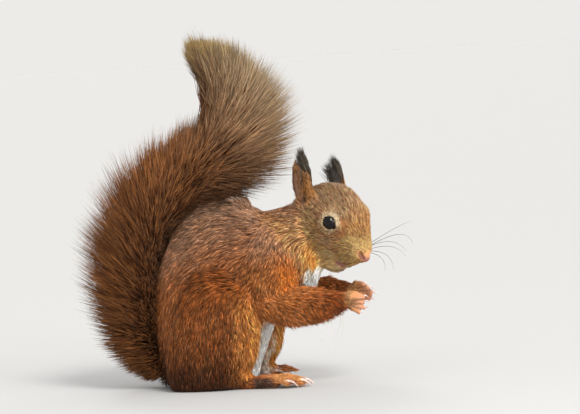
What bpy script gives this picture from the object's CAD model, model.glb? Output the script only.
# %% [markdown]
# # A red squirrel, sitting up with both hands at its chest
# The solids of the frame give every part of the animal its true place and outline, out to
# the tips of the coat. This notebook dresses them: one skin drawn over all the flesh, then
# eyes, claws and whiskers, and a coat of many thousand small tufts that lie as hair lies.

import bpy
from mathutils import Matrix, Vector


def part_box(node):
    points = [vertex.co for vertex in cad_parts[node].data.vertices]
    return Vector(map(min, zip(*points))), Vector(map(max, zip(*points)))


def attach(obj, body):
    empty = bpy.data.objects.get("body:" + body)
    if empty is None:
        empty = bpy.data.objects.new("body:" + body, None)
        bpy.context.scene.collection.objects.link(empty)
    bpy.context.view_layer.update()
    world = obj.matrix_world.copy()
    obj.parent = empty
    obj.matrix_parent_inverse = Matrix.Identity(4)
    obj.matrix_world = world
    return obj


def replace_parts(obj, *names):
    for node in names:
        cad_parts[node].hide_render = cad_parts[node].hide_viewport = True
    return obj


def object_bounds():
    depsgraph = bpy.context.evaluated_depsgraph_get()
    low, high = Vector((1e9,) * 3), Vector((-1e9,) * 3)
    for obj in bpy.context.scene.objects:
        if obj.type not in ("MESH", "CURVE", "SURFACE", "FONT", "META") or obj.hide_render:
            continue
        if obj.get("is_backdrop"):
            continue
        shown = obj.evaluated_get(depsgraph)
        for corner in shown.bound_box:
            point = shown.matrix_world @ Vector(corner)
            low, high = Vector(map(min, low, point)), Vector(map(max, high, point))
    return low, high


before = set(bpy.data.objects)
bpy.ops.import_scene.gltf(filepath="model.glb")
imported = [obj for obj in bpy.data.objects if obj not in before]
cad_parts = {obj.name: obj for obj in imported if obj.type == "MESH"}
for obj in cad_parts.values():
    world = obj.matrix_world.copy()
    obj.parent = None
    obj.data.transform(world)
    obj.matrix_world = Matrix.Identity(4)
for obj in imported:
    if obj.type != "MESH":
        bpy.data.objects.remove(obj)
cad_box = [list(corner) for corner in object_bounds()]
print("solids in the frame:", len(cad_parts))

# %% [markdown]
# ## Units
# Blender counts in metres, and an animal this small is easier to think of in millimetres.
# So every size below is in millimetres, and MM turns it into metres at the last moment.
# Colours are named as a painter would mix them on a screen, in steps from 0 to 255, and
# linear() turns them into the light values that shaders work with.

# %% Units and colours
import math

import bmesh
import bpy
import numpy as np
from mathutils import Euler, Matrix, Vector
from mathutils.bvhtree import BVHTree
from mathutils.kdtree import KDTree

MM = 0.001
SEED = 11


def linear(*levels):
    share = np.array(levels, float) / 255
    return np.where(share < 0.04045, share / 12.92, ((share + 0.055) / 1.055) ** 2.4)


def unit(vectors):
    size = np.linalg.norm(vectors, axis=-1, keepdims=True)
    return vectors / np.maximum(size, 1e-9)


def dot(a, b):
    return (a * b).sum(-1, keepdims=True)


def rise(low, high, value):
    """0 below low, 1 above high, and a smooth step between."""
    share = np.clip((value - low) / (high - low), 0, 1)
    return share * share * (3 - 2 * share)


def mix(a, b, share):
    return a + (b - a) * share


# %% [markdown]
# ## Camera
# The animal is seen from its right side, a little from the front and from just above the
# floor, through a long lens that keeps its proportions. The camera leans by a few degrees,
# so the floor rises to the right in its view. A camera could be pointed with a
# constraint, but three axes worked out from three angles say exactly how it stands.

# %% Camera
AZIMUTH, ELEVATION, ROLL = (math.radians(angle) for angle in (15, 3, 4))
LENS, SENSOR = 200, 36
VIEW_WIDTH = 330.6  # how much the camera takes in, from side to side, at the animal
AIM_RIGHT, AIM_UP = 38.4, 98.7  # the middle of its view, from the model's origin

level = Vector((math.cos(AZIMUTH), math.sin(AZIMUTH), 0))
ahead = Vector(
    (
        -math.sin(AZIMUTH) * math.cos(ELEVATION),
        math.cos(AZIMUTH) * math.cos(ELEVATION),
        -math.sin(ELEVATION),
    )
)
upward = level.cross(ahead)
across = level * math.cos(ROLL) - upward * math.sin(ROLL)
above = level * math.sin(ROLL) + upward * math.cos(ROLL)
aim = level * AIM_RIGHT + upward * AIM_UP
distance = VIEW_WIDTH * LENS / SENSOR

camera = bpy.data.objects.new("camera", bpy.data.cameras.new("camera"))
camera.data.lens = LENS
camera.data.sensor_width = SENSOR
turned = Matrix((across, above, -ahead)).transposed().to_4x4()
camera.matrix_world = Matrix.Translation((aim - ahead * distance) * MM) @ turned
bpy.context.scene.collection.objects.link(camera)
bpy.context.scene.camera = camera
print("camera is", round(distance), "mm away and", round(camera.location.z / MM), "mm up")

# %% [markdown]
# ## Floor and light
# A pale floor and soft light let the coat speak for itself. A wide sun, high in front on the
# right, lights the whole floor evenly and gives the shadows soft edges, as thin cloud does.
# A low one in front lights chest and belly, and one from behind makes the hair tips glow.
# A small square lamp is there for the bright spot in the eye, and the pale world fills the
# shadows. The world is as bright as the lit floor, so that no horizon shows.

# %% Floor and lamps
FLOOR_SIZE = 60000
PALE = (0.531, 0.5375, 0.546)
ROOM = (0.84, 0.83, 0.81)


def add_object(name, mesh):
    thing = bpy.data.objects.new(name, mesh)
    bpy.context.scene.collection.objects.link(thing)
    return thing


def principled(name, **sockets):
    """A new material whose shader has these values set on its own sockets."""
    material = bpy.data.materials.new(name)
    material.use_nodes = True
    shader = material.node_tree.nodes["Principled BSDF"]
    for socket, value in sockets.items():
        shader.inputs[socket.replace("_", " ")].default_value = value
    return material, material.node_tree, shader


def make_floor():
    bm = bmesh.new()
    bmesh.ops.create_grid(bm, x_segments=4, y_segments=4, size=FLOOR_SIZE * MM / 2)
    mesh = bpy.data.meshes.new("floor")
    bm.to_mesh(mesh)
    bm.free()
    material = principled("floor paint", Roughness=0.9, Base_Color=(*PALE, 1))[0]
    mesh.materials.append(material)
    return add_object("floor", mesh)


def add_lamp(name, kind, place, power, spread_size, colour):
    """A lamp that faces the animal's chest. A sun's spread is an angle, a square's a side."""
    lamp = bpy.data.lights.new(name, kind)
    lamp.energy = power
    lamp.color = colour
    if kind == "SUN":
        lamp.angle = math.radians(spread_size)
    else:
        lamp.size = spread_size * MM
    thing = add_object(name, lamp)
    thing.location = Vector(place) * MM
    towards = Vector((0, 0, 90 * MM)) - thing.location
    thing.rotation_euler = towards.to_track_quat("-Z", "Y").to_euler()


make_floor()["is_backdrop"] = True
add_lamp("main sun", "SUN", (600, -800, 1100), 1.9, 20, (1, 0.96, 0.90))
add_lamp("low sun", "SUN", (1000, -500, 320), 1.4, 40, (1, 0.97, 0.92))
add_lamp("back sun", "SUN", (-500, 900, 900), 0.65, 20, (1, 0.97, 0.93))
add_lamp("eye lamp", "AREA", (520, -700, 520), 1.6, 120, (1, 1, 1))

world = bpy.data.worlds.new("pale room")
world.use_nodes = True
world.node_tree.nodes["Background"].inputs["Color"].default_value = (*ROOM, 1)
world.node_tree.nodes["Background"].inputs["Strength"].default_value = 1.0
bpy.context.scene.world = world
bpy.context.scene.view_settings.view_transform = "Standard"

# %% [markdown]
# ## One skin over all the flesh
# A living squirrel has no joints between its parts: one skin runs from the nose to the tip
# of the tail. A skin could be modelled face by face, but the solids already hold every
# form. So each solid is copied, grown a little so that neighbours overlap, and the whole
# heap is wrapped by a voxel remesh, which melts it into one closed surface. Claws are hard
# and come later, so they are cut from the copies first.

# %% Copies of the solids
SWELL = 0.25  # how far each copy is grown, enough to close the joints
FOOT_LINE = 25.6
LEFT_SET_BACK = -26  # 11 mm further back than the solid's toes, which are cut off there
TOES = {-8: 38, -4.2: 45.5, -0.3: 47.5, 3.6: 46.5, 7.4: 40}  # across from the line: tip
FINGERS = {
    "right": [(79.5, 2.2, 46.8), (80.5, 2.8, 43.8), (80, 4.8, 40.6), (77.5, 7.6, 38.4)],
    "left": [(79, 1.6, 53.6), (82, 2.6, 51), (83.5, 3.8, 47.8), (81, 5.6, 44.6)],
}
SIDES = {"left": 1, "right": -1}


def claw_roots(kind, side):
    """Where the claws of a foot or a hand spring from."""
    sign = SIDES[side]
    if kind == "hand":
        return [Vector((x + 0.5, y * sign, z + 0.7)) for x, y, z in FINGERS[side]]
    back = LEFT_SET_BACK if side == "left" else 0
    return [
        Vector((tip + 0.4 + back, (FOOT_LINE + y) * sign, 4.4)) for y, tip in TOES.items()
    ]


def merged_copy(name, swell):
    """A node's own shape as a bmesh, its triangles joined and its surface moved out."""
    bm = bmesh.new()
    bm.from_mesh(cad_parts[name].data)
    bmesh.ops.remove_doubles(bm, verts=bm.verts, dist=0.001 * MM)
    bm.normal_update()
    for vert in bm.verts:
        vert.co += vert.normal * swell * MM
    return bm


def cut_claws(bm, kind, side):
    """Takes away what stands in front of the toes and closes the holes."""
    past, reach = (1.2, 1.7) if kind == "foot" else (0.9, 1.2)
    hard = set()
    for root in claw_roots(kind, side):
        for vert in bm.verts:
            place = vert.co / MM
            if place.x > root.x + past and abs(place.y - root.y) < reach:
                if abs(place.z - root.z) < 5:
                    hard.add(vert)
    bmesh.ops.delete(bm, geom=list(hard), context="VERTS")
    bmesh.ops.holes_fill(bm, edges=[edge for edge in bm.edges if edge.is_boundary])
    return len(hard)


# %% [markdown]
# ## A tube drawn from point to point
# The core of the tail, claws and whiskers are all tapered tubes. A curve with a bevel would
# do, but an end face that is extruded along the path, turned and scaled at each step, gives
# a closed mesh with the number of faces that is asked for.

# %% Tubes
def draw_tube(bm, path, radii, sides):
    path = [Vector(point) * MM for point in path]
    radii = [radius * MM for radius in radii]
    heading = path[1] - path[0]
    start = Matrix.Translation(path[0]) @ heading.to_track_quat("Z", "Y").to_matrix().to_4x4()
    made = bmesh.ops.create_circle(
        bm, cap_ends=True, segments=sides, radius=radii[0], matrix=start
    )
    cap = made["verts"][0].link_faces[0]
    everything = list(made["verts"])
    for i in range(1, len(path)):
        grown = bmesh.ops.extrude_face_region(bm, geom=[cap])["geom"]
        cap = next(part for part in grown if isinstance(part, bmesh.types.BMFace))
        ring = list(cap.verts)
        everything += ring
        ahead_of = path[min(i + 1, len(path) - 1)] - path[i - 1]
        turn = heading.rotation_difference(ahead_of).to_matrix()
        heading = ahead_of
        bmesh.ops.translate(bm, verts=ring, vec=path[i] - path[i - 1])
        bmesh.ops.rotate(bm, verts=ring, cent=path[i], matrix=turn)
        bmesh.ops.scale(
            bm,
            verts=ring,
            vec=Vector((1, 1, 1)) * (radii[i] / radii[i - 1]),
            space=Matrix.Translation(-path[i]),
        )
    faces = {face for vert in everything for face in vert.link_faces}
    bmesh.ops.recalc_face_normals(bm, faces=list(faces))


TAIL_CORE = [
    (-30, 0, 12), (-37.9, 0, 8), (-44, 0, 20), (-46.6, 0, 34.8), (-45.7, 0, 63.3),
    (-38.9, 0, 91.4), (-24.3, 0, 113.3), (-8, 0, 127), (4, 0, 140), (9, 0, 154),
    (6, 0, 168), (0, 0, 181),
]
CORE_RADIUS = (5.5, 5.5, 5, 4.6, 4.2, 3.8, 3.4, 3, 2.7, 2.4, 2.1, 1.6)

# %% [markdown]
# ## Remeshing
# The voxel remesh walks a grid through the heap of copies and lays a new surface where
# inside meets outside. The grid is a millimetre wide: fine enough for an ear or a finger,
# and coarse enough to stay light. Loose scraps that it leaves are dropped.

# %% Remesh
VOXEL = 1.1


def remeshed(name, parts, voxel):
    """One closed mesh around several bmeshes."""
    heap = bpy.data.meshes.new(name)
    together = bmesh.new()
    for part in parts:
        scratch = bpy.data.meshes.new("scratch")
        part.to_mesh(scratch)
        together.from_mesh(scratch)
        bpy.data.meshes.remove(scratch)
        part.free()
    together.to_mesh(heap)
    together.free()
    thing = add_object(name, heap)
    wrap = thing.modifiers.new("wrap", "REMESH")
    wrap.mode = "VOXEL"
    wrap.voxel_size = voxel * MM
    wrap.use_smooth_shade = True
    seen = thing.evaluated_get(bpy.context.evaluated_depsgraph_get())
    mesh = bpy.data.meshes.new_from_object(seen)
    bpy.data.objects.remove(thing)
    bpy.data.meshes.remove(heap)
    mesh.name = name
    return mesh


def keep_largest(mesh):
    """Drops every scrap that isn't joined to the largest piece."""
    bm = bmesh.new()
    bm.from_mesh(mesh)
    left = set(bm.verts)
    islands = []
    while left:
        island = {left.pop()}
        edge_of = set(island)
        while edge_of:
            edge_of = {e.other_vert(v) for v in edge_of for e in v.link_edges} - island
            island |= edge_of
        left -= island
        islands.append(island)
    largest = max(islands, key=len)
    bmesh.ops.delete(bm, geom=[v for v in bm.verts if v not in largest], context="VERTS")
    bm.to_mesh(mesh)
    bm.free()
    return len(islands)


HAIR = ("tail_", "ear_tuft_")  # nodes that are hair alone
FLESH = [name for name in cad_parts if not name.startswith((*HAIR, "eye_"))]
parts = []
for name in sorted(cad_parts):
    if name.startswith(HAIR):
        continue
    part = merged_copy(name, SWELL)
    if name.startswith(("hand_", "foot_")):
        kind, side = name.split("_")
        print(name, "claw points cut:", cut_claws(part, kind, side))
    parts.append(part)
core = bmesh.new()
draw_tube(core, TAIL_CORE, CORE_RADIUS, 12)
parts.append(core)
skin_mesh = remeshed("skin", parts, VOXEL)
islands = keep_largest(skin_mesh)
print("skin:", len(skin_mesh.vertices), "points, scraps dropped:", islands - 1)

# %% [markdown]
# ## Points as arrays
# Smoothing and colouring touch every point of the skin many times over, so they work on
# whole arrays at once. points_of reads a mesh in millimetres and place_points writes it
# back. spread lets each value drift towards the mean of its neighbours, which smooths a
# shape, a colour or a border between two parts alike.

# %% Points, normals and neighbours
def points_of(mesh):
    flat = np.empty(len(mesh.vertices) * 3, np.float32)
    mesh.vertices.foreach_get("co", flat)
    return flat.reshape(-1, 3).astype(float) / MM


def place_points(mesh, points):
    mesh.vertices.foreach_set("co", (points * MM).astype(np.float32).ravel())
    mesh.update()


def triangles_of(mesh):
    mesh.calc_loop_triangles()
    flat = np.empty(len(mesh.loop_triangles) * 3, np.int32)
    mesh.loop_triangles.foreach_get("vertices", flat)
    return flat.reshape(-1, 3)


def links_of(mesh):
    flat = np.empty(len(mesh.edges) * 2, np.int32)
    mesh.edges.foreach_get("vertices", flat)
    return flat.reshape(-1, 2)


def total_at(corners, values, count):
    """Adds up rows of values for each point that they belong to."""
    return np.stack([np.bincount(corners, column, count) for column in values.T], 1)


def normals_at(points, triangles):
    a, b, c = (points[triangles[:, i]] for i in range(3))
    facing = np.cross(b - a, c - a)
    return unit(total_at(triangles.ravel(), facing.repeat(3, 0), len(points)))


def spread(values, links, times, share=0.5):
    """Moves each value towards the mean of its neighbours, times over."""
    a, b = links.T
    count = np.bincount(links.ravel(), minlength=len(values))[:, None]
    for _ in range(times):
        around = total_at(a, values[b], len(values)) + total_at(b, values[a], len(values))
        values = mix(values, around / count, share)
    return values


# %% [markdown]
# ## Which part is this?
# The coat differs from part to part: long on the back, velvet on the nose. So each point
# of the skin looks up the nearest solid, and carries a share of each part. The shares are
# spread over the borders, and depth, length and lie of the coat pass over smoothly.
# For each part COAT says how deep the skin lies under the tips, how long and wide a tuft
# is, how far it lifts off the skin, and how much is smoothed away of the remesh's steps.

# %% Parts and their coats
COAT = {  # depth, length, width, lift in degrees, rounds of smoothing
    "head": (0.8, 3.8, 0.42, 17, 4),
    "muzzle": (0.3, 2.4, 0.28, 13, 1),
    "ear": (0.3, 2.6, 0.26, 14, 2),
    "neck": (2.5, 6.4, 0.44, 19, 14),
    "trunk": (2.9, 7.4, 0.46, 19, 16),
    "thigh": (2.7, 7.0, 0.46, 19, 16),
    "foot": (0.4, 2.6, 0.36, 13, 3),
    "upper_arm": (2.2, 6.2, 0.44, 19, 12),
    "forearm": (1.7, 5.0, 0.46, 18, 9),
    "hand": (0.2, 1.8, 0.30, 12, 1),
    "tail": (0.0, 9.0, 0.60, 20, 5),
}
PART_OF = {"lower_jaw": "muzzle", "nose": "muzzle", "eye": "head", "ear_tuft": "ear"}
PARTS = list(COAT)
DEPTH, LENGTH, WIDTH, LIFT, ROUNDS = range(5)
coat_table = np.array([COAT[part] for part in PARTS])


def part_of(node):
    stem = node.removesuffix("_left").removesuffix("_right")
    if stem.startswith("tail_"):
        return "tail"
    return PART_OF.get(stem, stem)


corners, owners = [], []
for name in sorted(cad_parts):
    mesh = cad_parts[name].data
    corners.append(points_of(mesh)[triangles_of(mesh)].reshape(-1, 3))
    owners += [PARTS.index(part_of(name))] * (len(corners[-1]) // 3)
corners = np.concatenate(corners)
solids = BVHTree.FromPolygons(corners.tolist(), np.arange(len(corners)).reshape(-1, 3).tolist())
owners = np.array(owners)


def shares_at(points, links, rounds=12):
    """How much each point belongs to each part, as one column for each part."""
    nearest = [solids.find_nearest(point)[2] for point in points.tolist()]
    shares = np.eye(len(PARTS))[owners[nearest]]
    return spread(shares, links, rounds)


# %% [markdown]
# ## Smoothing and sinking the skin
# Under a deep coat the body is soft and round, so the skin there is smoothed often, while
# ears, fingers and the face keep their form. Then the skin sinks along its normals by the
# depth of the coat, so that the tips of the fur end where the solids do.

# %% Smooth, then sink
points = points_of(skin_mesh)
links = links_of(skin_mesh)
shares = shares_at(points, links)
rounds = shares @ coat_table[:, [ROUNDS]]
for i in range(int(coat_table[:, ROUNDS].max())):
    points = mix(points, spread(points, links, 1, 1.0), 0.5 * np.clip(rounds - i, 0, 1))
sink = shares @ coat_table[:, [DEPTH]]
points -= normals_at(points, triangles_of(skin_mesh)) * sink
points = spread(points, links, 2, 0.4 * rise(1.0, 2.0, sink))
points[:, 2] = np.maximum(points[:, 2], 0.15)
place_points(skin_mesh, points)
print("the skin lies", sink.min().round(1), "to", sink.max().round(1), "mm under the tips")

# %% [markdown]
# ## The head's own frame
# The head is turned to the animal's right, nodded down and tipped a little. Its features
# are far easier to place in a frame of its own, with the nose along x, the left side along
# y and the crown along z.

# %% To and from the head
HEAD_AT = np.array([68.5, -1, 89])
HEAD_TIP, HEAD_NOD, HEAD_TURN = (math.radians(angle) for angle in (-3, 31, -24))
head_axes = np.array(Euler((HEAD_TIP, HEAD_NOD, HEAD_TURN), "XYZ").to_matrix())
EYE_RADIUS = 4.9


def in_head(points):
    return (points - HEAD_AT) @ head_axes


def from_head(points):
    return points @ head_axes.T + HEAD_AT


def both_sides(points):
    """The same points with the right side folded onto the left."""
    return np.abs(points) * (0, 1, 0) + points * (1, 0, 1)


def eye_centre(side):
    low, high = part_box("eye_" + side)
    return in_head(np.array((low + high) / 2) / MM)


print("eyes in the head's frame:", eye_centre("left").round(2), eye_centre("right").round(2))

# %% [markdown]
# ## Finer skin on the face
# Lids, nostrils and lips are less than a millimetre thick, which the remesh is too coarse
# for. Splitting the edges of the head once, and those around the eyes, nose and mouth once
# more, puts points only where the form needs them.

# %% Split the edges of the face
def split_where(mesh, wanted):
    """Splits each edge with both its ends at wanted points."""
    bm = bmesh.new()
    bm.from_mesh(mesh)
    bm.verts.ensure_lookup_table()
    edges = [edge for edge in bm.edges if all(wanted[vert.index] for vert in edge.verts)]
    bmesh.ops.subdivide_edges(bm, edges=edges, cuts=1, use_grid_fill=True)
    bmesh.ops.triangulate(bm, faces=[face for face in bm.faces if len(face.verts) > 4])
    bm.to_mesh(mesh)
    bm.free()


def near(points, centre, radius):
    return np.linalg.norm(points - np.array(centre), axis=-1) < radius


placed = in_head(points_of(skin_mesh))
split_where(skin_mesh, (placed[:, 0] > -16) & near(placed, (2, 0, -3), 36))
placed = in_head(points_of(skin_mesh))
fine = near(placed, (22.5, 0, -12), 9.5)
for side in SIDES:
    fine |= near(placed, eye_centre(side) * (1, 1.3, 1), 7.5)
split_where(skin_mesh, fine)
placed = in_head(points_of(skin_mesh))
finest = near(both_sides(placed), (24.2, 3.8, -7.4), 4)
split_where(skin_mesh, finest)

points = points_of(skin_mesh)
links = links_of(skin_mesh)
on_head = near(in_head(points), (2, 0, -3), 34)[:, None]
to_nose = np.linalg.norm(in_head(points) - np.array((23, 0, -11)), axis=1)[:, None]
points = mix(points, spread(points, links, 3, 0.5), on_head * rise(3, 12, to_nose))
print("skin:", len(points), "points after the face is made finer")

# %% [markdown]
# ## Lids
# A squirrel's eye bulges, and its lids fit it closely: a round opening with one pointed
# corner towards the nose. Around each eye the skin is moved along rays from the ball's
# centre. Inside the opening it goes behind the ball, at the edge it lies on the ball with
# the lid's own thickness, and further out it runs back into the face.

# %% Shape the lids
OPENING, CORNER = math.radians(49), math.radians(13)
LID_THICK = 0.5


def eye_frame(side):
    """The eye's own axes: outwards, towards its pointed corner, and upwards."""
    sign = SIDES[side]
    outwards = unit(np.array((0.43, 0.87 * sign, 0.2)))
    corner = np.array((4.6, -2.3 * sign, -1.9))
    corner = unit(corner - (corner @ outwards) * outwards)
    return outwards, corner, np.cross(outwards, corner) * sign


def opening_at(angle):
    """How far the lids open, in each direction from the eye's middle."""
    pointed = np.exp(-((angle / 0.34) ** 2))
    return OPENING + CORNER * pointed + math.radians(2) * np.cos(2 * angle)


def shape_lids(placed, side):
    centre = eye_centre(side)
    outwards, corner, upwards = eye_frame(side)
    ray = placed - centre
    reach = np.linalg.norm(ray, axis=1)
    along, up, out = ray @ corner, ray @ upwards, ray @ outwards
    tilt = np.arctan2(np.hypot(along, up), out)
    ratio = tilt / opening_at(np.arctan2(up, along))
    lid = EYE_RADIUS + LID_THICK
    wanted = mix(lid, reach, rise(1.12, 1.75, ratio))
    wanted = np.where(ratio < 1, EYE_RADIUS - 1.5, wanted)
    close = (reach < 10) & (out > -1.5) & (ratio < 1.75)
    return centre + ray * np.where(close, wanted / reach, 1)[:, None]


placed = in_head(points)
for side in SIDES:
    placed = shape_lids(placed, side)

# %% [markdown]
# ## Ears
# Seen from outside, an ear is a scoop: the front edge is a thick furred fold, the back edge
# a thin rim, and between them lies a bare hollow that ends in a dark slit at the foot. Each
# ear has three axes of its own, and the hollow is a dent and its two rims are swellings.

# %% Shape the ears
EAR_FOOT = (-17.6, 16, 4)
EAR_TALL = {"left": 16.5, "right": 19.5}  # the solids' ears may differ a little
EAR_LEAN = {"left": 1.5, "right": 4}


def ear_axes(side):
    """Foot of the ear, and its axes towards its front edge, outwards and up to its tip."""
    sign = SIDES[side]
    foot = np.array(EAR_FOOT) * (1, sign, 1)
    up = unit(np.array((-10, EAR_LEAN[side] * sign, EAR_TALL[side])))
    forward = np.array((0.85, -0.3 * sign, 0))
    forward = unit(forward - (forward @ up) * up)
    return foot, np.stack([forward, np.cross(up, forward) * sign, up])


def in_ear(placed, side):
    """Forward, outward and upward place in the ear, as three columns."""
    foot, axes = ear_axes(side)
    return ((placed - foot) @ axes.T).T[:, :, None]


def scoop_of(placed, side):
    """How much each point lies in the bare hollow of the ear."""
    forward, out, up = in_ear(placed, side)
    tall = EAR_TALL[side]
    width = rise(-6.6, -5.6, forward) * rise(1.4, 0.2, forward)
    return width * rise(-1, 1, up) * rise(tall - 1, tall - 4, up) * rise(-0.6, 0.4, out)


for side in SIDES:
    forward, out, up = in_ear(placed, side)
    outwards = ear_axes(side)[1][1]
    fold = rise(1, 3.2, forward) * rise(7, 5, forward) * rise(0, 3, up) * rise(-0.4, 0.4, out)
    rim = rise(-5.4, -6.4, forward) * rise(0, 3, up) * rise(-0.4, 0.4, out)
    at_ear = near(placed, ear_axes(side)[0] + (-6, 0, 11), 22)[:, None]
    moved = fold * 0.9 + rim * 0.5 - scoop_of(placed, side) * 0.7
    flare = rise(10, 1, up) * rise(-3, 0, up) * rise(2, 5, forward) * rise(12, 8, forward)
    placed = placed + (outwards * moved + ear_axes(side)[1][0] * flare * 2.4) * at_ear

# %% [markdown]
# ## Nose and mouth
# The nose is a small bare pad with two commas for nostrils, and a groove runs from it down
# to the lip. The mouth is a narrow slit that starts under the nose and runs back and down
# on either side, with a soft lower lip. Each is a dent or a swelling around a point or a
# line, so one helper that measures the distance to a line serves them all.

# %% Shape the nose and the mouth
NOSTRIL = (25.0, 3.2, -8.5)
NOSTRIL_TAIL = (23.3, 4.8, -6.1)
GROOVE = ((26.6, 0, -9.4), (25.0, 0, -11.2))
MOUTH = (
    (24.2, 0.6, -11), (22.6, 2.4, -12.2), (20.6, 3.6, -14), (18.2, 3.8, -16),
    (14.4, 5.4, -17.3), (11.6, 6.2, -17.6),
)
LOWER_LIP = ((16.2, 0, -18.8), (14.8, 3.2, -18.7), (12.4, 5.0, -18.6))
PAD = (18.5, 6.8, -8.5)
BROW = (8, 8.5, 10)
SNOUT = (  # a middle, how wide, and how far it comes forward
    ((23, 0, -5), 6.5, 1.9), ((24.8, 0, -8), 3, 0.8), ((15, 0, -19.5), 4, 2.0),
)




def gap_to_line(points, line):
    """The distance from each point to a bent line."""
    gaps = []
    for start, end in zip(line[:-1], line[1:]):
        start, end = np.array(start), np.array(end)
        step = end - start
        share = np.clip((points - start) @ step / (step @ step), 0, 1)[:, None]
        gaps.append(np.linalg.norm(points - start - share * step, axis=1))
    return np.min(gaps, axis=0)


def dent(gap, radius):
    return np.exp(-((gap / radius) ** 2))[:, None]


for centre, radius, rise_by in SNOUT:
    gap = np.linalg.norm(placed - np.array(centre), axis=1)
    placed = placed + (rise_by, 0, 0) * dent(gap, radius)
folded = both_sides(placed)
facing = normals_at(placed, triangles_of(skin_mesh))
mouth_gap = gap_to_line(folded, MOUTH)
lip = folded - np.array((0, 0, -1.6))
placed = placed - facing * dent(gap_to_line(folded, (NOSTRIL, NOSTRIL_TAIL)), 0.75) * 1.8
placed -= facing * dent(gap_to_line(folded, GROOVE), 0.5) * 0.5
placed -= facing * dent(mouth_gap, 0.6) * 1.0
placed += facing * dent(gap_to_line(lip, MOUTH[:5]), 1.2) * 0.5
placed += facing * dent(np.linalg.norm(folded - np.array(PAD), axis=1), 4) * 0.5
placed += facing * dent(np.linalg.norm(folded - np.array(BROW), axis=1), 5) * 1.5
points = from_head(placed)
place_points(skin_mesh, points)

triangles = triangles_of(skin_mesh)
links = links_of(skin_mesh)
normals = normals_at(points, triangles)
shares = shares_at(points, links)
print("skin:", len(triangles), "triangles")

# %% [markdown]
# ## Markings
# The red squirrel's colours are a few broad fields: grey-brown over the back, fox red on
# the flanks, brighter orange on arms and feet, cream underneath, and pale rings round the
# eyes. They could be painted on an image, but fields of position are sharp at any size and
# skin and coat can share them. Each patch below is a colour and a soft mask.

# %% Colours of the coat
INK = {
    "back": linear(160, 116, 86),
    "saddle": linear(156, 118, 92),
    "flank": linear(176, 106, 58),
    "rump": linear(60, 36, 20),
    "thigh": linear(140, 80, 38),
    "thigh_low": linear(78, 42, 21),
    "thigh_top": linear(142, 78, 32),
    "orange": linear(222, 142, 70),
    "arm": linear(176, 108, 56),
    "forearm": linear(156, 92, 44),
    "arm_front": linear(214, 118, 40),
    "wrist": linear(124, 62, 22),
    "cream": linear(255, 250, 238),
    "crown": linear(192, 140, 100),
    "bridge": linear(192, 130, 76),
    "muzzle": linear(228, 168, 104),
    "cheek": linear(214, 146, 70),
    "cheek_back": linear(184, 138, 88),
    "jowl": linear(252, 204, 140),
    "brow": linear(186, 108, 56),
    "ring": linear(232, 196, 152),
    "nape": linear(198, 144, 94),
    "ear": linear(158, 106, 56),
    "ear_inside": linear(108, 76, 60),
    "ear_slit": linear(34, 22, 16),
    "slate": linear(66, 60, 54),
    "foot": linear(160, 90, 44),
    "toe": linear(226, 140, 80),
    "hand": linear(198, 138, 88),
    "pink": linear(206, 146, 114),
    "sole": linear(58, 46, 40),
    "nose": linear(164, 108, 92),
    "nostril": linear(36, 16, 12),
    "lip": linear(170, 114, 104),
    "tail": linear(70, 42, 22),
}
THROAT_WIDE, BELLY_WIDE = 12.5, 14


def body_markings(points, normals):
    """Colours of trunk, neck, thighs and arms."""
    x, y, z = points.T[:, :, None]
    side = np.abs(y)
    nx = normals[:, [0]]
    throat = rise(THROAT_WIDE + 1, THROAT_WIDE - 2, side) * rise(68, 65, z) * rise(48, 51, x)
    belly = rise(-0.1, 0.4, nx) * rise(BELLY_WIDE + 4, BELLY_WIDE - 2, side) * rise(58, 48, z)
    chest = rise(THROAT_WIDE + 1, THROAT_WIDE - 3, side) * rise(0, 0.4, nx) * rise(66, 62, z)
    white = np.clip(throat + belly * rise(-6, 8, x) + chest * rise(30, 38, x), 0, 1)

    trunk = mix(INK["flank"], INK["back"], rise(62, 90, z - 0.25 * x))
    trunk = mix(trunk, INK["saddle"], rise(84, 100, z) * rise(22, 6, side))
    trunk = mix(trunk, INK["rump"], rise(46, 6, z))
    trunk = mix(trunk, INK["orange"], rise(38, 46, x) * rise(70, 60, z) * 0.8)
    trunk = mix(trunk, INK["cream"], white)

    neck = mix(INK["nape"], INK["back"], rise(88, 100, z))
    neck = mix(neck, INK["cheek"], rise(46, 54, x) * rise(84, 74, z))
    neck = mix(neck, INK["cream"], white)

    thigh = mix(INK["thigh_low"], INK["thigh"], rise(8, 34, z))
    thigh = mix(thigh, INK["thigh_top"], rise(44, 58, z))
    thigh = mix(thigh, INK["orange"], rise(0.1, 0.7, nx) * rise(4, 16, x) * rise(56, 44, z))
    inner = rise(0.25, -0.25, normals[:, [1]] * np.sign(y)) * rise(30, 22, side)
    inner *= rise(-16, -6, x) * rise(0.8, 0.45, nx)
    thigh = mix(thigh, INK["cream"], inner * 0.85)

    arm = mix(INK["arm"], INK["back"], rise(66, 84, z))
    arm = mix(arm, INK["arm_front"], rise(0.1, 0.7, nx) * rise(80, 62, z) * 0.8)
    forearm = mix(INK["forearm"], INK["wrist"], rise(48, 66, x))
    return {"trunk": trunk, "neck": neck, "thigh": thigh, "upper_arm": arm, "forearm": forearm}


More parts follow.
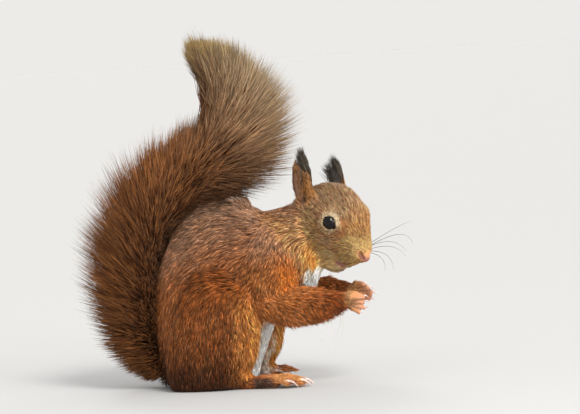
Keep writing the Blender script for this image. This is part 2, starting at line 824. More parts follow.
def head_markings(points):
    """Colours of the face and the ears."""
    placed = in_head(points)
    x, y, z = placed.T[:, :, None]
    face = mix(INK["crown"], INK["bridge"], rise(6, 16, x))
    face = mix(face, INK["brow"], rise(4, 8, x) * rise(15, 11, x) * rise(8, 3, z) * rise(-5, 0, z) * 0.8)
    face = mix(face, INK["cheek_back"], rise(4, -6, z) * rise(6, -4, x))
    face = mix(face, INK["cheek"], rise(-8, -17, z) * rise(14, 4, x))
    face = mix(face, INK["muzzle"], rise(12, 18, x) * rise(4, -4, z))
    chin = rise(-19.5, -22.5, z) * rise(9, 3, np.abs(y))
    face = mix(face, INK["cream"], chin * 0.3)
    jowl = rise(-11, -16, z) * rise(-3, 5, x) * rise(17, 12, x)
    face = mix(face, INK["jowl"], jowl * 0.8)
    ear = mix(INK["ear"], INK["slate"], rise(12, 22, z) * 0.5)
    for side in SIDES:
        ray = placed - eye_centre(side)
        outwards = eye_frame(side)[0]
        depth = dot(ray, outwards)
        aside = np.linalg.norm(ray - depth * outwards, axis=1)[:, None]
        ring = rise(6.0, 5.3, aside) * rise(-1, 1, depth)
        bag = rise(5.6, 6.4, aside) * rise(8.6, 7.2, aside) * rise(2, -4, ray[:, [2]] + ray[:, [0]])
        face = face * (1 - 0.4 * bag * rise(-1, 1, depth))
        bright = 0.36 + 0.54 * rise(-3, 4, ray[:, [2]] + 0.5 * ray[:, [0]])
        face = mix(face, INK["ring"], ring * bright)
        forward, out, up = in_ear(placed, side)
        behind = rise(0.2, -0.8, out) * rise(5, 9, up)
        slit = rise(2.4, 0.8, np.abs(forward - 0.6)) * rise(6, 2, up) * rise(-6, -3, up)
        own = mix(ear, INK["slate"], behind)
        own = mix(own, INK["ear_inside"], scoop_of(placed, side))
        own = mix(own, INK["ear_slit"], slit * rise(-0.5, 0.5, out))
        ear = np.where(y * SIDES[side] > 0, own, ear)
    return {"head": face, "muzzle": face, "ear": ear}


def markings(points, normals, shares):
    """The colour of the coat at each point of the skin."""
    x, z = points[:, [0]], points[:, [2]]
    colours = {**body_markings(points, normals), **head_markings(points)}
    paw = mix(INK["foot"], INK["toe"], rise(18, 36, x))
    outer = rise(0.1, 0.5, normals[:, [1]] * np.sign(points[:, [1]]))
    sole = np.maximum(rise(3, 1.5, z), rise(6.6, 5, z) * outer) * rise(16, 20, x)
    paw = mix(paw, INK["sole"], sole * rise(33, 29, x) * 0.9)
    colours["foot"] = mix(paw, INK["pink"], rise(1.6, 0.6, z) * rise(20, 30, x) * 0.7)
    colours["hand"] = mix(INK["hand"], INK["pink"], rise(72, 78, x))
    colours["tail"] = INK["tail"]
    total = sum(shares[:, [i]] * colours[part] for i, part in enumerate(PARTS))
    trunk, thigh, arm = (shares[:, [PARTS.index(n)]] for n in ("trunk", "thigh", "upper_arm"))
    fold = 4 * trunk * (thigh + 0.7 * arm * rise(80, 60, points[:, [2]]))
    return total * (1 - 0.45 * np.clip(fold, 0, 1) * rise(20, 30, points[:, [2]]))


def finger_tops(points):
    """1 along the middle of each finger, and 0 in the creases between them."""
    tops = np.zeros((len(points), 1))
    for side, sign in SIDES.items():
        palm = np.array((70, 9 * sign, 44 if side == "right" else 50))
        gaps = []
        for x, y, z in FINGERS[side]:
            tip = np.array((x, y * sign, z))
            knuckle = mix(palm, tip, 0.2) + (0, 0, 0.35 * (z - palm[2]))
            gaps.append(gap_to_line(points, (knuckle, tip)))
        first, second = np.sort(gaps, axis=0)[:2]
        tops = np.maximum(tops, rise(0.1, 0.9, second - first)[:, None] * (first < 6)[:, None])
    return tops


def bare_places(points, shares, coat):
    """Nose, lips, ear hollows and fingers, where skin shows: a colour and its share."""
    placed = in_head(points)
    folded = both_sides(placed)
    pad = rise(3.4, 2.4, gap_to_line(folded, ((25.2, 0, -6.2), (26.4, 0, -8.4))))
    to_hole = gap_to_line(folded, (NOSTRIL, NOSTRIL_TAIL))
    to_mouth = gap_to_line(folded, MOUTH)
    back = rise(21, 17, folded[:, 0])
    hole = dent(to_hole, 0.9)[:, 0]
    upper = dent(to_mouth, 0.75)[:, 0] * back
    lower = rise(2.3, 1.3, gap_to_line(folded, LOWER_LIP))
    on_top = rise(-8, -5.5, folded[:, [2]]) * 0.75
    colour = mix(mix(INK["nose"], INK["muzzle"], on_top), INK["lip"], lower[:, None])
    dark = np.clip(np.maximum(hole * 2, upper * 1.2), 0, 1)[:, None]
    colour = mix(colour, INK["nostril"], dark)
    lips = np.maximum(lower, rise(1.7, 1.0, to_mouth) * back)
    bare = np.maximum.reduce([pad, lips * 0.95, rise(2.1, 1.4, to_hole)])[:, None]
    for side in SIDES:
        scoop = scoop_of(placed, side)
        colour = mix(colour, coat, scoop)
        bare = np.maximum(bare, scoop * 0.9)
    fingers = rise(71, 74, points[:, [0]]) * shares[:, [PARTS.index("hand")]]
    skin = mix(INK["hand"], INK["pink"], rise(75, 81, points[:, [0]]))
    colour = mix(colour, skin * mix(0.22, 1, finger_tops(points)), fingers)
    return colour, np.clip(np.maximum(bare, fingers * 0.85), 0, 1)


coat_colour = markings(points, normals, shares)
bare_colour, bare = bare_places(points, shares, coat_colour)
print("mean colour of the coat:", coat_colour.mean(0).round(3))

# %% [markdown]
# ## The lie of the coat
# Hair points away from the nose, down the neck and the back, and along each limb to its
# digits. For each part the lie is one simple field of directions. The fields are blended
# by the parts' shares, laid flat on the skin and evened out, as a comb would do.

# %% Which way the hair points
CURL = np.array((40.0, 20.0))  # the back's hair runs round this point, seen from the side
NOSE_TIP = np.array((26, 0, -7.5))
ELBOW = np.array((28, 24, 47))
WRIST = np.array((69, 10, 46))


def flat_on(directions, normals):
    return unit(directions - dot(directions, normals) * normals)


def lie_of_hair(points, normals, shares):
    x, y, z = points.T[:, :, None]
    zero = np.zeros_like(x)
    sign = np.sign(y)
    head = in_head(points)

    def row(a, b, c):
        return unit(np.concatenate([a + zero, b + zero, c + zero], 1))

    down_back = row(-(z - CURL[1]), 0, x - CURL[0])
    down = row(-0.1, 0, -1)
    trunk = unit(mix(down_back, down, rise(20, 34, x) * rise(75, 60, z)))
    neck = unit(mix(row(-1, 0, -0.1), row(-0.55, 0, -1), rise(92, 76, z)))
    thigh = unit(mix(row(-0.12, 0, -1), row(-1, 0, -0.25), rise(50, 64, z + 0.2 * x)))
    thigh = unit(mix(thigh, row(0.4, 0, -1), rise(12, 24, x) * rise(56, 40, z)))
    arm = unit(mix(row(-0.35, 0, -1), row(0.2, 0, -1), rise(56, 44, z)))
    reach = (WRIST - ELBOW)[None] * np.concatenate([1 + zero, sign, 1 + zero], 1)
    forearm = unit(unit(reach) * 0.75 + row(0, 0, -1) * rise(52, 40, z))
    digits = row(1, -0.3 * sign, -0.25)
    foot = row(1, 0, -0.15)

    back = unit(head - NOSE_TIP)
    back = unit(back + np.array((-0.6, 0, -0.15)))
    for name in SIDES:
        ray = head - eye_centre(name)
        gap = np.linalg.norm(ray, axis=1)[:, None]
        back = unit(back + unit(ray) * rise(11, 6, gap) * 1.2)
    face = back @ head_axes.T
    up_ear = np.array((-0.35, 0, 1.0)) @ head_axes.T + zero

    fields = {
        "head": face, "muzzle": face, "ear": up_ear, "neck": neck, "trunk": trunk,
        "thigh": thigh, "foot": foot, "upper_arm": arm, "forearm": forearm, "hand": digits,
        "tail": row(-0.6, 0, 0.6),
    }
    total = sum(shares[:, [i]] * fields[part] for i, part in enumerate(PARTS))
    flow = flat_on(total, normals)
    for _ in range(6):
        flow = flat_on(spread(flow, links, 2), normals)
    return flow


flow = lie_of_hair(points, normals, shares)
print("the hair of the back points", flow[shares[:, PARTS.index("trunk")] > 0.9].mean(0).round(2))

# %% [markdown]
# ## How long, how wide, how thick
# On the face each tuft shrinks towards the nose and the eyes, down to a millimetre of
# velvet. Toes and fingers have the shortest hair of all, and on a bare place there is none.

# %% Size of each tuft
def coat_sizes(points, shares):
    head = in_head(points)
    length, width, lift = (shares @ coat_table[:, [i]] for i in (LENGTH, WIDTH, LIFT))
    to_nose = np.linalg.norm(head - NOSE_TIP, axis=1)[:, None]
    small = mix(0.36, 1.0, rise(2, 24, to_nose))
    for name in SIDES:
        gap = np.linalg.norm(head - eye_centre(name), axis=1)[:, None]
        small *= mix(0.4, 1.0, rise(5, 11, gap))
    on_face = shares[:, [PARTS.index("head")]] + shares[:, [PARTS.index("muzzle")]]
    length = length * mix(1, small, on_face)
    width = width * mix(1, small**0.6, on_face)
    jowl = rise(-15, -20, head[:, [2]]) * rise(12, 4, head[:, [0]]) * on_face
    arm = shares[:, [PARTS.index("upper_arm")]] + shares[:, [PARTS.index("forearm")]]
    fringe = arm * rise(-0.2, -0.6, normals[:, [2]])
    return length * (1 + 0.5 * jowl + 0.4 * fringe), width, np.radians(lift)


length, width, lift = coat_sizes(points, shares)
fields = {
    "normal": normals, "flow": flow, "colour": coat_colour, "length": length,
    "width": width, "lift": lift, "bare": bare, "shares": shares,
}

# %% [markdown]
# ## The skin's own finish
# Where the coat is thin the skin shows through it, so it wears the coat's colour, darker
# and rougher, and its own colour on nose and lips. The colour is stored as an attribute at
# each point. Fine noise on top of it stands for the underfur, and as bump it breaks up the
# light between the tufts.

# %% Skin material
def link(tree, source, target):
    tree.links.new(source, target)


def store_colour(mesh, colours):
    attribute = mesh.color_attributes.new("coat", "FLOAT_COLOR", "POINT")
    flat = np.concatenate([np.clip(colours, 0, 1), np.ones((len(colours), 1))], 1)
    attribute.data.foreach_set("color", flat.astype(np.float32).ravel())


def coat_material(name, grain, contrast, roughness, bump, specular=0.25):
    """The stored colour, streaked by a noise of this grain in millimetres."""
    material, tree, shader = principled(
        name, Roughness=roughness, Specular_IOR_Level=specular
    )
    nodes = tree.nodes
    stored = nodes.new("ShaderNodeAttribute")
    stored.attribute_name = "coat"
    place = nodes.new("ShaderNodeTexCoord")
    noise = nodes.new("ShaderNodeTexNoise")
    noise.inputs["Scale"].default_value = 1 / (grain * MM)
    noise.inputs["Detail"].default_value = 3
    shade = nodes.new("ShaderNodeMapRange")
    shade.inputs["To Min"].default_value = 1 - contrast
    shade.inputs["To Max"].default_value = 1 + contrast
    paint = nodes.new("ShaderNodeVectorMath")
    paint.operation = "SCALE"
    raised = nodes.new("ShaderNodeBump")
    raised.inputs["Strength"].default_value = bump
    raised.inputs["Distance"].default_value = 0.3 * MM
    link(tree, place.outputs["Object"], noise.inputs["Vector"])
    link(tree, noise.outputs["Fac"], shade.inputs["Value"])
    link(tree, stored.outputs["Color"], paint.inputs[0])
    link(tree, shade.outputs["Result"], paint.inputs["Scale"])
    link(tree, paint.outputs["Vector"], shader.inputs["Base Color"])
    link(tree, noise.outputs["Fac"], raised.inputs["Height"])
    link(tree, raised.outputs["Normal"], shader.inputs["Normal"])
    return material


pale = rise(0.25, 0.7, coat_colour.mean(1, keepdims=True))
skin_colour = mix(coat_colour * mix(0.5, 0.85, pale), bare_colour, bare)
store_colour(skin_mesh, skin_colour)
skin_mesh.materials.clear()
skin_mesh.materials.append(coat_material("skin and underfur", 0.5, 0.35, 0.6, 0.5))
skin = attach(add_object("skin", skin_mesh), "root")
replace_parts(skin, *FLESH)

# %% [markdown]
# ## Eyes
# The eye is a dark wet ball with a slightly bulging cornea. A sphere of the solid's size
# is enough for its shape. Its gloss comes from a very smooth surface, and a thin pale rim
# of bare lid lies around it, drawn as a tube along the edge of the opening.

# %% Make the eyes
def finish_piece(name, bm, material, smooth=True):
    mesh = bpy.data.meshes.new(name)
    bm.to_mesh(mesh)
    bm.free()
    mesh.materials.append(material)
    if smooth:
        mesh.shade_smooth()
    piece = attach(add_object(name, mesh), "root")
    return piece


def mottled(name, dark, light, grain, roughness, **sockets):
    """A material of two colours that run into each other."""
    material, tree, shader = principled(name, Roughness=roughness, **sockets)
    nodes = tree.nodes
    place = nodes.new("ShaderNodeTexCoord")
    noise = nodes.new("ShaderNodeTexNoise")
    noise.inputs["Scale"].default_value = 1 / (grain * MM)
    ramp = nodes.new("ShaderNodeValToRGB")
    ramp.color_ramp.elements[0].position = 0.35
    ramp.color_ramp.elements[1].position = 0.7
    ramp.color_ramp.elements[0].color = (*dark, 1)
    ramp.color_ramp.elements[1].color = (*light, 1)
    link(tree, place.outputs["Object"], noise.inputs["Vector"])
    link(tree, noise.outputs["Fac"], ramp.inputs["Fac"])
    link(tree, ramp.outputs["Color"], shader.inputs["Base Color"])
    return material


eye_gloss = mottled(
    "wet dark eye", linear(4, 3, 2), linear(14, 9, 6), 3.0, 0.05, Specular_IOR_Level=0.3
)
lid_finish = mottled("bare lid", linear(34, 22, 17), linear(66, 44, 34), 0.8, 0.4)


def make_eye(side):
    bm = bmesh.new()
    bmesh.ops.create_uvsphere(bm, u_segments=48, v_segments=32, radius=EYE_RADIUS * MM)
    outwards = Vector(from_head(eye_frame(side)[0] + in_head(HEAD_AT)) - HEAD_AT)
    for vert in bm.verts:
        facing = vert.co.normalized().dot(outwards)
        vert.co *= 1 + 0.03 * max(0, facing) ** 6
    bmesh.ops.translate(bm, verts=bm.verts, vec=Vector(from_head(eye_centre(side))) * MM)
    eye = finish_piece("eye_ball_" + side, bm, eye_gloss)
    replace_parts(eye, "eye_" + side)


def make_lid_rim(side):
    centre = eye_centre(side)
    outwards, corner, upwards = eye_frame(side)
    path = []
    for angle in np.linspace(0, 2 * math.pi, 49):
        tilt = opening_at(math.atan2(math.sin(angle), math.cos(angle))) + math.radians(1.5)
        ray = corner * math.cos(angle) + upwards * math.sin(angle)
        ray = outwards * math.cos(tilt) + ray * math.sin(tilt)
        path.append(from_head(centre + ray * (EYE_RADIUS + 0.2)))
    bm = bmesh.new()
    draw_tube(bm, path, [0.3] * len(path), 8)
    finish_piece("lid_rim_" + side, bm, lid_finish)


for side in SIDES:
    make_eye(side)
    make_lid_rim(side)

# %% [markdown]
# ## Claws
# Each toe and finger ends in a curved claw, pale and a little see-through in life. It is a
# tube that bends down and narrows to a point.

# %% Make the claws
CLAWS = {"foot": (6, 4, 0.85), "hand": (2.4, 1.8, 0.5)}  # reach, drop, radius at the root
claw_horn = mottled("claw horn", linear(196, 168, 158), linear(236, 214, 204), 1.5, 0.3)


def make_claws(kind, side):
    reach, drop, radius = CLAWS[kind]
    bm = bmesh.new()
    for root in claw_roots(kind, side):
        shares_along = np.linspace(-0.25, 1, 8)
        path = [root + Vector((reach * t, 0, -drop * max(t, 0) ** 2.2)) for t in shares_along]
        draw_tube(bm, path, [radius * (1.02 - max(t, 0) ** 1.6) for t in shares_along], 10)
    finish_piece(f"claws_{kind}_{side}", bm, claw_horn)


for kind in CLAWS:
    for side in SIDES:
        make_claws(kind, side)

# %% [markdown]
# ## A tuft
# A tuft of fur is a small closed spike with three sides: a flat side towards the skin and a
# low ridge outwards. It springs from just under the skin, rises at the coat's lift and
# bends back along the body. Thousands of them are worked out at once as arrays, ring by
# ring, and joined into one mesh for each part of the body. Hair particles would be easier
# to comb, but they aren't a mesh, and a model that leaves Blender loses them.

# %% Build a mesh of tufts
PATCH = 0.003  # how wide a tuft is on the map


def tuft_faces(count, rings):
    """Triangles of one spike after another: base, sides between the rings, and point."""
    tip = 3 * rings
    faces = [(0, 2, 1)]
    for ring in range(rings - 1):
        for i in range(3):
            a, b = 3 * ring + i, 3 * ring + (i + 1) % 3
            faces += [(a, b, b + 3), (a, b + 3, a + 3)]
    faces += [(tip - 3 + i, tip - 3 + (i + 1) % 3, tip) for i in range(3)]
    step = (np.arange(count) * (tip + 1))[:, None, None]
    return (np.array(faces)[None] + step).reshape(-1, 3)


def tuft_mesh(name, spines, outwards, widths, colours, places):
    """spines holds each tuft's own line of points. The last of them is its tip."""
    count, steps = spines.shape[:2]
    rings = steps - 1
    across = unit(np.cross(outwards, spines[:, -1] - spines[:, 0]))
    half = widths[:, None] / 2 * (1 - 0.8 * (np.arange(rings) / rings) ** 2)[None, :, None]
    middle = spines[:, :rings]
    beside = across[:, None] * half
    ridge = middle + outwards[:, None] * half * 0.8
    ring = np.stack([middle - beside, middle + beside, ridge], 2).reshape(count, -1, 3)
    corners = np.concatenate([ring, spines[:, rings:]], 1).reshape(-1, 3)
    faces = tuft_faces(count, rings)
    mesh = bpy.data.meshes.new(name)
    mesh.from_pydata(corners * MM, [], faces)
    step = np.append(np.repeat(np.arange(rings), 3) / rings, 1.0)
    store_colour(mesh, colours(step[None, :, None]).reshape(-1, 3))
    beside = np.append(np.tile((-1, 1, 0), rings), 0) * PATCH / 2
    on_map = places[:, None] + np.stack([beside, (step - 0.5) * PATCH], 1)[None]
    layer = mesh.uv_layers.new(name="OFBake")
    layer.uv.foreach_set("vector", on_map.reshape(-1, 2)[faces.ravel()].ravel())
    mesh.shade_smooth()
    return mesh


def add_coat(name, mesh):
    mesh.materials.append(fur)
    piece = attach(add_object(name, mesh), "root")
    print(name, len(mesh.polygons), "triangles")
    return piece


fur = coat_material("fur", 0.9, 0.12, 0.55, 0.0, specular=0.2)

# %% [markdown]
# ## Sowing tufts on the skin
# Tufts are sown evenly: each triangle of the skin gets its share by area, and by how small
# the tufts are there. A tuft looks up the fields at its root, then varies: a little longer
# or shorter, turned, lighter or darker. Neighbours lean towards a common tip, which gives
# the small locks that a real coat parts into.

# %% Sow roots
rng = np.random.default_rng(SEED)


def sow(chosen, cover):
    """Roots of tufts on triangles where chosen is true: each a triangle and its weights."""
    picked = triangles[chosen[triangles].all(1)]
    a, b, c = (points[picked[:, i]] for i in range(3))
    area = np.linalg.norm(np.cross(b - a, c - a), axis=1) / 2
    size = (length[picked].mean(1) * width[picked].mean(1))[:, 0] * 0.55
    hairy = 1 - bare[picked].mean(1)[:, 0]
    wanted = np.cumsum(area / size * cover * np.where(hairy > 0.2, hairy, 0))
    count = int(wanted[-1])
    level = (np.arange(count) + rng.random(count)) * wanted[-1] / count
    index = np.minimum(np.searchsorted(wanted, level), len(picked) - 1)
    u, v = rng.random((2, count))
    fold = u + v > 1
    u, v = np.where(fold, 1 - u, u), np.where(fold, 1 - v, v)
    return picked[index], np.stack([1 - u - v, u, v], 1)


def at_roots(values, roots):
    corners, weights = roots
    return (values[corners] * weights[:, :, None]).sum(1)


def vary(count, low, high):
    return rng.uniform(low, high, (count, 1))


def wave(points, size, phase):
    """A slow, smooth variation from place to place, from -1 to 1."""
    x, y, z = (points / size).T[:, :, None]
    first = np.sin(x * 1.3 + 2.1 * np.sin(z * 0.9 + phase)) * np.cos(y * 1.1 + z * 0.7)
    return 0.6 * first + 0.4 * np.sin(2.3 * x - 1.9 * y + 1.7 * z + phase)


def lean_together(tips, roots_at, lock, pull):
    """Moves each tip towards the tip of the nearest of every few tufts."""
    leaders = rng.choice(len(tips), max(1, len(tips) // lock), replace=False)
    tree = KDTree(len(leaders))
    for i, leader in enumerate(leaders):
        tree.insert(roots_at[leader], i)
    tree.balance()
    nearest = np.array([tree.find(point)[1] for point in roots_at.tolist()])
    target = tips[leaders[nearest]] - roots_at[leaders[nearest]] + roots_at
    together = mix(tips, mix(tips[leaders[nearest]], target, 0.5), pull)
    return together, nearest


def round_the(axis_at, points):
    """A place on the map: round an upright axis, and up along it."""
    x, y, z = (points - axis_at).T
    low, high = z.min(), z.max()
    return np.stack([np.arctan2(y, x) / (2 * np.pi) + 0.5, (z - low) / (high - low + 1e-6)], 1)


# %% [markdown]
# ## One tuft after another, each a little different
# A coat of even colour looks like felt. On an animal some hairs have a pale band or a black
# tip, locks part and throw shadows, and each hair is darker at its root. So every lock and
# every tuft gets its own brightness, a few get a pale frosted tip, and roots are dark
# except in the white of the belly.

# %% Shape and colour the tufts
LOCK = 8  # tufts in a lock
PULL = 0.4  # how far they lean together
LOCK_SHADE, TUFT_SHADE = 0.14, 0.48
ROOT_DARK, TIP_LIGHT = 0.36, 1.35
FROSTED = 0.28  # the share of tufts with a pale tip


def tuft_colours(base, lock, root, flecks):
    """A function that gives each tuft's colours at each step from root to tip."""
    count = len(base)
    pale = rise(0.3, 0.75, base.mean(1, keepdims=True))
    calm = 1 - 0.65 * pale
    shade = np.exp(rng.normal(0, LOCK_SHADE, (int(lock.max()) + 1, 1)))[lock] - 1
    own = np.exp(rng.normal(0, TUFT_SHADE, (count, 1)) * flecks) * (1 + 0.08 * wave(root, 7, 2.0)) - 1
    warm = rng.normal(0, 0.06, (count, 1)) + 0.05 * wave(root, 11, 4.0)
    tint = np.concatenate([1 + warm, 1 + 0 * warm, 1 - 1.4 * warm], 1)
    tone = base * np.clip((1 + shade * calm) * (1 + own * calm), 0.25, 2.4) * tint
    frost = (rng.random((count, 1)) < FROSTED) * calm * 0.5
    frosted = mix(tone * TIP_LIGHT, np.sqrt(tone), frost)
    dark = mix(ROOT_DARK, 1, pale)

    def colours(step):
        ramp = mix(dark[:, None], TIP_LIGHT, step**0.8)
        return mix(tone[:, None] * ramp, frosted[:, None], rise(0.3, 1.0, step))

    return colours


def sow_piece(name, chosen, cover, rings):
    roots = sow(chosen, cover)
    count = len(roots[0])
    at = {key: at_roots(values, roots) for key, values in fields.items()}
    root = at_roots(points, roots)
    normal, lie = unit(at["normal"]), unit(at["flow"])
    turn = np.radians(14 * wave(root, 5, 0.0) + 9 * rng.standard_normal((count, 1)))
    lie = lie * np.cos(turn) + np.cross(normal, lie) * np.sin(turn)
    long = at["length"] * vary(count, 0.7, 1.25)
    up = np.tan(at["lift"]) * vary(count, 0.5, 1.5)
    wide = at["width"] * vary(count, 0.75, 1.25)
    start = root - normal * 0.25 * wide
    tip = root + long * (lie * 0.97 + normal * up * 0.75)
    tip, lock = lean_together(tip, root, LOCK, PULL)
    tip[:, 2] = np.maximum(tip[:, 2], 0.2)
    spines = [start, tip]
    if rings > 1:
        spines.insert(1, mix(start, tip, 0.42) + normal * long * up * 0.28)
    places = round_the(points[chosen].mean(0), root)
    flecks = 1 + 0.8 * at["shares"][:, [PARTS.index("head")]]
    colours = tuft_colours(at["colour"], lock, root, flecks)
    mesh = tuft_mesh(name, np.stack(spines, 1), normal, wide, colours, places)
    return add_coat(name, mesh)


# %% [markdown]
# ## The coat, part by part
# Each part of the body gets a left and a right piece of coat. Face, ears and paws have so
# many tiny tufts that each is a plain spike, and on the body each has a bend.

# %% Cover the body
owner = shares.argmax(1)
left = points[:, 1] > 0
left_of_head = in_head(points)[:, 1] > 0


def has(*names):
    return np.isin(owner, [PARTS.index(name) for name in names])


PIECES = {  # where, which half is left, slot, how many tufts lie over each other, rings
    "coat_head": (has("head", "muzzle"), left_of_head, "coat_face", 4.2, 1),
    "coat_ear": (has("ear"), left_of_head, "coat_face", 4.0, 1),
    "coat_neck": (has("neck"), left, "coat_back", 4.5, 2),
    "coat_trunk": (has("trunk"), left, "coat_back", 4.5, 2),
    "coat_thigh": (has("thigh"), left, "coat_limb", 4.5, 2),
    "coat_arm": (has("upper_arm", "forearm"), left, "coat_limb", 4.5, 2),
    "coat_paws": (has("hand", "foot"), left, "coat_paw", 3.5, 1),
}


def near_points(chosen):
    """The chosen points and their neighbours, so that no strip between parts is bald."""
    wide = chosen.copy()
    touched = chosen[links].any(1)
    wide[links[touched].ravel()] = True
    return wide


for name, (chosen, on_left, slot, cover, rings) in PIECES.items():
    for side, half in (("left", on_left), ("right", ~on_left)):
        sow_piece(f"{name}_{side}", near_points(chosen & half), cover, rings)

# %% [markdown]
# ## The brush
# The tail is a thin core with hair up to 55 mm long, combed out to both sides like a bottle
# brush that was pressed flat. Each hair starts on the core and leans towards the tail's
# tip: almost square to the core low down, and more and more along it near the top.

# %% The core's course
LEAN = {  # how far the hair leans away from the core's heading, in degrees, at each share
    0: 98, 0.07: 94, 0.16: 80, 0.3: 66, 0.45: 57, 0.6: 52, 0.72: 47, 0.82: 40, 0.91: 34,
    1: 20,
}


def along_core(share):
    """Place, heading and radius of the core at each share of its length."""
    path = np.array(TAIL_CORE[1:], float)
    steps = np.linalg.norm(np.diff(path, axis=0), axis=1)
    reach = np.concatenate([[0], np.cumsum(steps)]) / steps.sum()
    fine = np.linspace(0, 1, 200)
    smooth = np.stack([np.interp(fine, reach, column) for column in path.T], 1)
    kernel = np.ones(21) / 21
    padded = np.pad(smooth, ((10, 10), (0, 0)), "edge")
    smooth = np.stack([np.convolve(column, kernel, "valid") for column in padded.T], 1)
    heading = unit(np.gradient(smooth, axis=0))
    place = np.stack([np.interp(share, fine, column) for column in smooth.T], 1)
    heading = unit(np.stack([np.interp(share, fine, column) for column in heading.T], 1))
    radius = np.interp(share, reach, CORE_RADIUS[1:])
    return place, heading, radius[:, None]


# %% [markdown]
# ## How long each hair may be
# The solids say where the brush ends: a ray goes out from each root and stops where it
# leaves them. Most hairs end there, and a few fly out past the rest, as on a real tail.

# %% Roots and directions of the tail hair
BRUSH_HAIRS = 44000
LONGEST, STRAY = 55, 20
BEND = math.radians(16)
tail_parts = [merged_copy(n, 0.4) for n in sorted(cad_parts) if n.startswith("tail_")]
brush = remeshed("brush", tail_parts, 2.5)
brush_solid = BVHTree.FromPolygons(points_of(brush).tolist(), triangles_of(brush).tolist())

share = rng.random(BRUSH_HAIRS) ** 0.95
round_core = rng.uniform(0, 2 * np.pi, BRUSH_HAIRS)
place, heading, radius = along_core(share)
sideways = np.array((0.0, 1.0, 0.0)) + 0 * heading
in_plane = np.cross(sideways, heading)
cos, sin = np.cos(round_core)[:, None], np.sin(round_core)[:, None]
out = unit(in_plane * cos + sideways * sin)
loose = 0.5 * rng.standard_normal((BRUSH_HAIRS, 1))
pressed = unit(in_plane * (cos * 1.1 + loose) + sideways * sin * 0.6)
root = place + out * radius * 0.8
lean = np.radians(np.interp(share, list(LEAN), list(LEAN.values())))[:, None]
aslant = rise(0.3, 0.5, share) * rise(0.8, 0.62, share)
lean += np.radians(24) * aslant[:, None] * rise(-0.1, 0.6, cos)
lean = lean + np.radians(9) * (rng.standard_normal((BRUSH_HAIRS, 1)) + wave(root, 9, 1.0))
lean = np.clip(lean + BEND / 2, 0.1, 2.3)
first = unit(heading * np.cos(lean) + pressed * np.sin(lean))
last = unit(heading * np.cos(lean - BEND) + pressed * np.sin(lean - BEND))
hits = [
    brush_solid.ray_cast(start, way)[3]
    for start, way in zip(root.tolist(), unit(first + last).tolist())
]
room = np.array([STRAY if hit is None else hit for hit in hits])[:, None]
flies = rng.random((BRUSH_HAIRS, 1)) < 0.05
long = room * np.where(flies, 1.22, vary(BRUSH_HAIRS, 0.72, 1.18))
ragged = 0.06 + 0.1 * rise(0.15, 0.35, share) * rise(0.75, 0.6, share)
long = np.minimum(long * (1 + ragged[:, None] * wave(root, 4, 3.0)), LONGEST)
keep = (long[:, 0] > 5) & (room[:, 0] < LONGEST * 1.3) & ((cos[:, 0] < 0.3) | (share > 0.05))
print("hairs kept:", keep.sum(), "of", BRUSH_HAIRS)

# %% [markdown]
# ## Long hair
# Tail and ear tufts are made of the same hair: a long thin spike in three steps that bends
# from its first direction to its last. Its colour changes along it, and low on the tail the
# hair is nearly black inside, brown along the middle and buff at the tip.

# %% Join long hairs
def hair_mesh(name, hairs, outwards, widths, inks, places, pull=0.3):
    """hairs: root, first and last direction, length. inks: root, middle and tip colour."""
    root, first, last, long = hairs
    count = len(root)
    steps = np.array((0, 0.5, 1.0))
    way = mix(first[:, None], last[:, None], steps[None, :, None])
    spines = root[:, None] + way * long[:, None] * steps[None, :, None]
    tips, lock = lean_together(spines[:, -1], root, 7, pull)
    spines += (tips - spines[:, -1])[:, None] * (steps**2)[None, :, None]
    spines[:, :, 2] = np.maximum(spines[:, :, 2], 0.3)
    shade = np.exp(rng.normal(0, 0.2, (int(lock.max()) + 1, 1)))[lock]
    shade = np.clip(shade * np.exp(rng.normal(0, 0.45, (count, 1))), 0.35, 2.6)[:, None]
    dark, middle, light = (ink[:, None] for ink in inks)

    def colours(step):
        tone = mix(middle, light, rise(0.45, 1.0, step))
        return mix(tone, dark, rise(0.5, 0.0, step)) * mix(1, shade, 0.4 + 0.6 * step)

    return tuft_mesh(name, spines, outwards, widths, colours, places)


# %% [markdown]
# ## Colours of the tail
# Low down the hair is dark red-brown, darkest on the side towards the back. Towards the top
# it pales to grey-buff, and to straw at the very tip.

# %% Make the brush
TAIL_INK = {
    "root": linear(26, 14, 6),
    "middle_low": linear(76, 38, 14),
    "middle_high": linear(92, 56, 27),
    "tip_low": linear(132, 84, 42),
    "tip_high": linear(150, 132, 104),
    "brown": linear(98, 66, 38),
    "straw": linear(200, 170, 108),
}
high = rise(0.58, 0.85, share)[:, None]
inner = rise(-0.3, 0.5, cos) * rise(0.76, 0.58, share)[:, None]
middle_ink = mix(TAIL_INK["middle_low"], TAIL_INK["middle_high"], high) * (1 - 0.65 * inner)
tip_ink = mix(TAIL_INK["tip_low"], TAIL_INK["tip_high"], high) * (1 - 0.65 * inner)
tip_ink = mix(tip_ink, TAIL_INK["brown"], rise(0.3, -0.4, cos) * high * 0.7)
tip_ink = mix(tip_ink, TAIL_INK["straw"], rise(0.88, 1.0, share)[:, None])
root_ink = TAIL_INK["root"] + 0 * tip_ink
on_tail = np.stack([round_core / (2 * np.pi), share], 1)
hair_wide = np.where(flies, 0.5, vary(BRUSH_HAIRS, 0.55, 0.95))
ENDS = {"tail_base": 0.22, "tail_lower": 0.5, "tail_upper": 0.72, "tail_tip": 1.01}

low = 0
for node, end in ENDS.items():
    some = keep & (share >= low) & (share < end)
    low = end
    hairs = [values[some] for values in (root, first, last, long)]
    inks = [ink[some] for ink in (root_ink, middle_ink, tip_ink)]
    mesh = hair_mesh("hair_" + node, hairs, out[some], hair_wide[some], inks, on_tail[some])
    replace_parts(add_coat("hair_" + node, mesh), node)

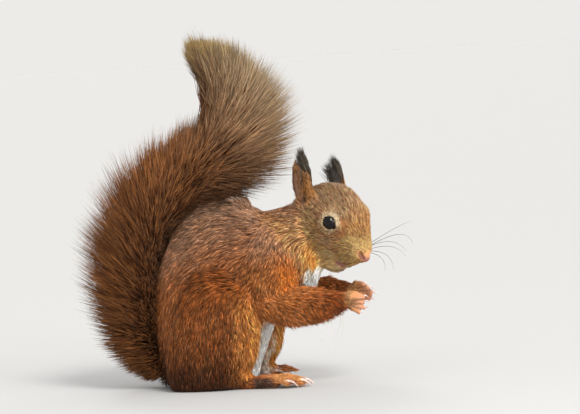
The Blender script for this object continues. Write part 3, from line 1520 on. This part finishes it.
# %% [markdown]
# ## Ear tufts
# In its winter coat the squirrel wears a tuft of dark hair on each ear. The hair springs
# from the front edge, the tip and the back of the ear, and sweeps up and backwards.

# %% Make the ear tufts
TUFT_HAIRS = 420
TUFT_POINT = {"left": (-5, -0.5, 26), "right": (1.5, -0.5, 31)}  # where the hair runs together
TUFT_FAN = {"left": (-9, 0, -4), "right": (-1, 0, 0)}  # how far the rear hair fans out
TUFT_INK = (linear(70, 58, 46), linear(84, 76, 64), linear(66, 60, 54))


def make_ear_tuft(side):
    foot, axes = ear_axes(side)
    tall = EAR_TALL[side]
    count = TUFT_HAIRS
    height = vary(count, 0.0, 1.0) ** 0.8
    half = np.interp(height[:, 0], (0, 0.62, 0.88, 1), (6.2, 6, 4.2, 2.2))[:, None]
    behind = rng.random((count, 1)) < 0.55
    height = np.where(behind, mix(0.3, 1, height), mix(0.55, 1.05, height))
    rear = -0.9 if side == "left" else -0.3
    across = np.where(behind, vary(count, rear, 0.95), vary(count, 0.5, 1.0))
    forward = half * across
    outward = np.where(behind, -1.1, 0.1)
    root = np.concatenate([forward, outward, height * tall], 1)
    aim_at = np.array(TUFT_POINT[side]) + np.array(TUFT_FAN[side]) * rise(0.5, -0.8, across)
    aim_at = aim_at + (1.6, 1.0, 2.2) * rng.standard_normal((count, 3))
    way = unit(aim_at - root)
    first = unit(way + (0.12, 0, 0.2) + 0.1 * rng.standard_normal((count, 3))) @ axes
    last = unit(way + (-0.12, 0, 0) + 0.1 * rng.standard_normal((count, 3))) @ axes
    long = np.linalg.norm(aim_at - root, axis=1)[:, None] * vary(count, 0.7, 1.12)
    long = np.clip(long, 4, 14)
    root = foot + root @ axes
    turned = [from_head(root), first @ head_axes.T, last @ head_axes.T, long]
    outwards = unit(np.cross(first, axes[0])) * SIDES[side] @ head_axes.T
    inks = [ink + np.zeros((count, 3)) for ink in TUFT_INK]
    places = np.concatenate([forward / 14 + 0.5, height], 1)
    name = "ear_tuft_hair_" + side
    mesh = hair_mesh(name, turned, outwards, vary(count, 0.4, 0.6), inks, places, 0.35)
    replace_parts(add_coat(name, mesh), "ear_tuft_" + side)


for side in SIDES:
    make_ear_tuft(side)

# %% [markdown]
# ## Whiskers
# Long stiff whiskers stand out from the muzzle on each side, and a few pale ones hang under
# each wrist. They are single hairs, so each is a thin tube that narrows to a point. Each is
# named by its root, a point that it bends past, and its tip.

# %% Make the whiskers
WHISKERS = [
    ((18.2, 6.6, -4.6), (15.3, 29, 2.4), (13.2, 48, 6.3)),
    ((19.0, 6.2, -5.4), (18.2, 33, 1.2), (18.2, 52, -5.7)),
    ((18.0, 7.2, -6.2), (19, 27, -2.8), (20.9, 44, -8.6)),
    ((19.4, 6.4, -7.0), (20.3, 27, -5.2), (23.2, 42, -10.6)),
    ((18.6, 7.0, -8.2), (22.2, 23, -9.2), (25, 33, -18.3)),
    ((17.6, 7.4, -9.2), (21.6, 20, -11.2), (23, 28, -19.8)),
]
WRIST_HAIRS = [
    ((63, 13, 38), (62, 14.5, 28), (60, 15, 20)),
    ((61, 15, 38), (60, 16.5, 30), (57, 17, 24)),
]
dark_hair = mottled("dark whisker", linear(40, 30, 24), linear(70, 54, 42), 6, 0.35)
pale_hair = mottled("pale whisker", linear(214, 196, 166), linear(240, 228, 204), 6, 0.35)


def make_whiskers(name, paths, radius, finish):
    bm = bmesh.new()
    for root, bend, tip in paths:
        root, bend, tip = Vector(root), Vector(bend), Vector(tip)
        steps = np.linspace(0, 1, 10)
        control = bend * 2 - (root + tip) / 2
        path = [
            root * (1 - t) ** 2 + control * 2 * t * (1 - t) + tip * t * t for t in steps
        ]
        draw_tube(bm, path, [radius * (1 - 0.75 * t) for t in steps], 6)
    finish_piece(name, bm, finish)


for side, sign in SIDES.items():
    short = 1 if side == "left" else 0.9
    folded_paths = np.array(WHISKERS) * (1, sign * short, 1)
    in_model = from_head(folded_paths.reshape(-1, 3)).reshape(-1, 3, 3)
    make_whiskers("whiskers_" + side, in_model.tolist(), 0.16, dark_hair)
    hanging = np.array(WRIST_HAIRS, float) * (1, sign, 1)
    make_whiskers("wrist_hairs_" + side, hanging.tolist(), 0.12, pale_hair)

# %% [markdown]
# ## Size and finish
# The tips of whiskers and loose tail hairs pass the solids by a little, and all else should
# lie within them. Both boxes are written out, so that they can be compared.

# %% Measure and finish
dressed_box = [list(corner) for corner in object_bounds()]
for label, box in (("solids", cad_box), ("dressed", dressed_box)):
    print(label, [[round(value / MM, 1) for value in corner] for corner in box], "mm")
